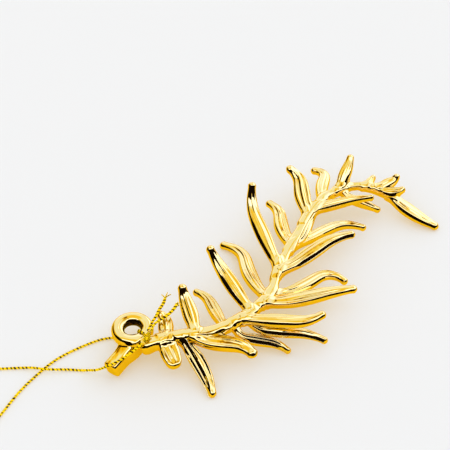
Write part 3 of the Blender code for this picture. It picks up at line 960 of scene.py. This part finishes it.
def colour_mix(tree, factor, first, second):
    """A mix of two colours, each a socket or a fixed colour."""
    made = node(tree, "ShaderNodeMix", data_type="RGBA")
    tree.links.new(factor, made.inputs["Factor"])
    for socket, value in (("A", first), ("B", second)):
        if isinstance(value, tuple):
            made.inputs[socket].default_value = value
        else:
            tree.links.new(value, made.inputs[socket])
    return made.outputs["Result"]


def new_material(name):
    """A material with nodes, its node tree and its Principled shader."""
    made = bpy.data.materials.new(name)
    made.use_nodes = True
    return made, made.node_tree, made.node_tree.nodes["Principled BSDF"]


def gold_plating():
    """Mirror gold plating, a little uneven: noise on object coordinates turns its tone, gloss and surface.

    Inside the eyelet's bore, by its distance from the eyelet's axis, it is painted dark brown as shade.
    """
    made, tree, shader = new_material("gold_plating_mirror")
    shader.inputs["Metallic"].default_value = 1.0
    place_at = node(tree, "ShaderNodeTexCoord").outputs["Object"]
    patches = noise_node(tree, place_at, GOLD_PATCH_SCALE, GOLD_PATCH_DETAIL)
    tone = colour_mix(tree, patches, GOLD_DEEP, GOLD_PALE)
    from_centre = node(tree, "ShaderNodeVectorMath", operation="SUBTRACT")
    from_centre.inputs[1].default_value = EYELET_CENTRE
    tree.links.new(place_at, from_centre.inputs[0])
    level = node(tree, "ShaderNodeVectorMath", operation="MULTIPLY")
    level.inputs[1].default_value = (1.0, 1.0, 0.0)
    tree.links.new(from_centre.outputs["Vector"], level.inputs[0])
    radius = node(tree, "ShaderNodeVectorMath", operation="LENGTH")
    tree.links.new(level.outputs["Vector"], radius.inputs[0])
    # Painted shade: the bore is coloured dark brown where it lies in shade
    hole = EYELET_HOLE_RADIUS * MM
    painted_bore_shade = ramp_node(tree, radius.outputs["Value"], hole, hole + BORE_PAINTED_SHADE_EDGE_M, 1.0, 0.0)
    tree.links.new(colour_mix(tree, painted_bore_shade, tone, BORE_PAINTED_SHADE_BROWN), shader.inputs["Base Color"])
    gloss = node(tree, "ShaderNodeMapRange")
    gloss.inputs["To Min"].default_value, gloss.inputs["To Max"].default_value = GOLD_ROUGHNESS
    tree.links.new(patches, gloss.inputs["Value"])
    tree.links.new(gloss.outputs["Result"], shader.inputs["Roughness"])
    bump = node(tree, "ShaderNodeBump")
    bump.inputs["Strength"].default_value = GOLD_WAVE_STRENGTH
    bump.inputs["Distance"].default_value = GOLD_WAVE_DEPTH_M
    tree.links.new(noise_node(tree, place_at, GOLD_WAVE_SCALE), bump.inputs["Height"])
    tree.links.new(bump.outputs["Normal"], shader.inputs["Normal"])
    return made


def metallic_thread():
    """Metallic thread: a bright strip wound round a core, dark in the groove between its turns, with painted
    light: it glows weakly in its own colour.

    On the cord's own UV map, with k the ring and a the share of the way round, the groove lies where the
    fraction of a - k step / pitch is near a half. Noise on object coordinates makes it wider and narrower.
    """
    made, tree, shader = new_material("metallic_thread_twisted")
    shader.inputs["Roughness"].default_value = THREAD_ROUGHNESS
    shader.inputs["Specular IOR Level"].default_value = THREAD_SPECULAR
    # Painted light: the thread glows weakly, to brighten it
    shader.inputs["Emission Strength"].default_value = THREAD_PAINTED_GLOW
    around = node(tree, "ShaderNodeUVMap", uv_map="around")
    split = node(tree, "ShaderNodeSeparateXYZ")
    tree.links.new(around.outputs["UV"], split.inputs["Vector"])
    twist = math_node(tree, "MULTIPLY", split.outputs["X"], CORD_STEP / WINDING_PITCH)
    turns = math_node(tree, "FRACT", math_node(tree, "SUBTRACT", split.outputs["Y"], twist))
    from_groove = math_node(tree, "ABSOLUTE", math_node(tree, "SUBTRACT", turns, 0.5))
    place_at = node(tree, "ShaderNodeTexCoord").outputs["Object"]
    noise = noise_node(tree, place_at, THREAD_NOISE_SCALE)
    uneven = math_node(tree, "SUBTRACT", noise, THREAD_NOISE_MIDDLE)
    wander = math_node(tree, "MULTIPLY", uneven, THREAD_NOISE_REACH)
    strip = ramp_node(tree, math_node(tree, "ADD", from_groove, wander), *THREAD_GROOVE_EDGE)
    tone = colour_mix(tree, strip, THREAD_GROOVE, THREAD_YELLOW)
    tree.links.new(tone, shader.inputs["Base Color"])
    # Painted light: the glow takes the strip's own colour
    tree.links.new(tone, shader.inputs["Emission Color"])
    return made


# Studio


def make_camera():
    data = bpy.data.cameras.new("studio_camera")
    data.lens = CAMERA_LENS
    data.sensor_width = CAMERA_SENSOR_WIDTH
    data.clip_start = CAMERA_CLIP_START_M
    made = bpy.data.objects.new("studio_camera", data)
    made.location = place(CAMERA_OFFSET)
    made.rotation_euler = (math.radians(CAMERA_TILT), 0.0, 0.0)
    bpy.context.scene.collection.objects.link(made)
    bpy.context.scene.camera = made


def make_floor():
    """A pale square floor, with a painted warm glow where the gold reflects it."""
    mesh = bpy.data.meshes.new("pale_floor")
    corners = [(-1, -1), (1, -1), (1, 1), (-1, 1)]
    mesh.from_pydata([(FLOOR_REACH_M * x, FLOOR_REACH_M * y, 0.0) for x, y in corners], [], [(0, 1, 2, 3)])
    floor = bpy.data.objects.new("pale_floor", mesh)
    floor.location = (0.0, 0.0, FLOOR_HEIGHT_M)
    bpy.context.scene.collection.objects.link(floor)
    made, tree, shader = new_material("pale_table")
    shader.inputs["Roughness"].default_value = FLOOR_ROUGHNESS
    shader.inputs["Specular IOR Level"].default_value = FLOOR_SPECULAR
    shader.inputs["Emission Strength"].default_value = 1.0
    rays = node(tree, "ShaderNodeLightPath")
    # Painted light: glossy rays see the floor in a warm tint, as if lit by light bounced off the gold
    for socket, (seen, reflected) in FLOOR_TINTS.items():
        tint = colour_mix(tree, rays.outputs["Is Glossy Ray"], seen, reflected)
        tree.links.new(tint, shader.inputs[socket])
    floor.data.materials.append(made)


def two_ramps(tree, first, first_ramp, second, second_ramp):
    """The product of a ramp over one value and a ramp over another."""
    factors = ramp_node(tree, first, *first_ramp), ramp_node(tree, second, *second_ramp)
    return math_node(tree, "MULTIPLY", *factors)


def light_level(tree, x, y, z):
    """How bright the studio is in a direction (x, y, z), as polished metal mirrors it.

    It is dark low down: up to z = 0.03 at the back, 0.42 on the right, 0.82 on the left and 0.88 in front.
    Above that are an even base, a broad light on all but the left that is stronger low down, and the stronger
    of a light on the right and a strip over the front. It is weaker overhead and in two gaps, one lying and
    one upright.
    """
    backwards = math_node(tree, "ADD", y, math_node(tree, "MULTIPLY", x, BACK_LEAN))
    front = ramp_node(tree, y, *EDGE_IN_FRONT)
    left = two_ramps(tree, y, EDGE_LEFT_BY_Y, x, EDGE_LEFT_BY_X)
    edge = math_node(
        tree, "ADD", ramp_node(tree, backwards, *EDGE_TO_BACK), math_node(tree, "MAXIMUM", front, left)
    )
    lit = ramp_node(tree, math_node(tree, "SUBTRACT", z, edge), *EDGE_SOFTNESS)
    broad = two_ramps(tree, x, BROAD_BY_X, z, BROAD_BY_Z)
    right = two_ramps(tree, x, RIGHT_BY_X, z, RIGHT_BY_Z)
    strip = ramp_node(tree, y, *FRONT_STRIP)
    overhead = two_ramps(tree, z, OVERHEAD_BY_Z, y, OVERHEAD_BY_Y)
    lying_gap = two_ramps(tree, z, GAP_BY_Z[0], z, GAP_BY_Z[1])
    upright_gap = two_ramps(tree, x, GAP_BY_X[0], x, GAP_BY_X[1])
    level = math_node(tree, "ADD", LEVEL_BASE, broad)
    level = math_node(tree, "ADD", level, math_node(tree, "MAXIMUM", right, strip))
    weaker = math_node(tree, "ADD", overhead, math_node(tree, "MINIMUM", lying_gap, upright_gap))
    return math_node(tree, "MULTIPLY", lit, math_node(tree, "ADD", level, weaker))


def make_light():
    """A studio dome: even white light on what is matt, and bands in what mirrors it.

    The bands' colour follows the level of light: dark, then golden, then white.
    """
    world = bpy.data.worlds.new("studio_dome")
    bpy.context.scene.world = world
    world.use_nodes = True
    tree = world.node_tree
    tree.nodes.clear()
    split = node(tree, "ShaderNodeSeparateXYZ")
    direction = node(tree, "ShaderNodeTexCoord").outputs["Generated"]
    tree.links.new(direction, split.inputs["Vector"])
    level = light_level(tree, *(split.outputs[axis] for axis in "XYZ"))
    tone = node(tree, "ShaderNodeCombineColor")
    for channel, ramp in COLOUR_BY_LEVEL.items():
        tree.links.new(ramp_node(tree, level, *ramp), tone.inputs[channel])
    studio = node(tree, "ShaderNodeBackground")
    tree.links.new(tone.outputs["Color"], studio.inputs["Color"])
    tree.links.new(ramp_node(tree, level, *STRENGTH_BY_LEVEL), studio.inputs["Strength"])
    soft = node(tree, "ShaderNodeBackground")
    soft.inputs["Color"].default_value = SOFT_WHITE
    soft.inputs["Strength"].default_value = SOFT_STRENGTH
    rays = node(tree, "ShaderNodeLightPath")
    both = node(tree, "ShaderNodeMixShader")
    tree.links.new(rays.outputs["Is Diffuse Ray"], both.inputs[0])
    tree.links.new(studio.outputs["Background"], both.inputs[1])
    tree.links.new(soft.outputs["Background"], both.inputs[2])
    output = node(tree, "ShaderNodeOutputWorld")
    tree.links.new(both.outputs["Shader"], output.inputs["Surface"])


def main():
    make_camera()
    make_cord(metallic_thread())
    branch = make_branch(gold_plating())
    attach(branch, "root")
    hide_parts("leaf_branch")
    make_floor()
    make_light()
    bpy.context.scene.view_settings.view_transform = "Standard"


main()
